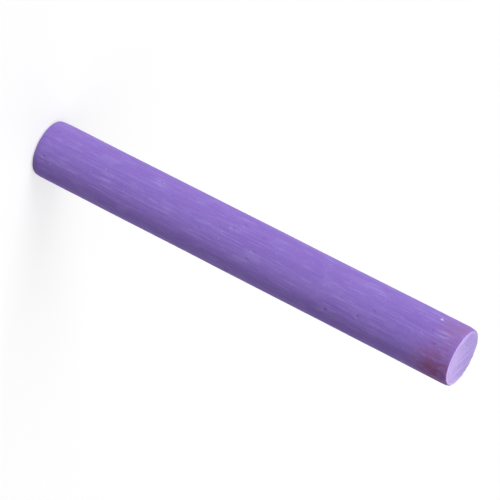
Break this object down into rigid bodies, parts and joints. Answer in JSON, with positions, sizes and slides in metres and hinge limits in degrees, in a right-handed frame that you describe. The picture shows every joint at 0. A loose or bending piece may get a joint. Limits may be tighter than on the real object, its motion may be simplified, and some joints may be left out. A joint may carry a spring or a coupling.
{
  "type": "chalk stick",
  "caption": "Straight round stick of coloured board chalk with square-cut ends and softly worn rims, for writing and drawing on a chalkboard.",
  "frame": {"origin": "centre of the cut face that the stick stands on", "axes": "+Z along the stick, from the face that it stands on to the writing face; X and Y are any two square directions across it"},
  "size_m": [0.01, 0.01, 0.08],
  "materials": {
    "chalk": "matte"
  },
  "bodies": {
    "root": {"chalk_stick": "chalk"}
  },
  "joints": []
}
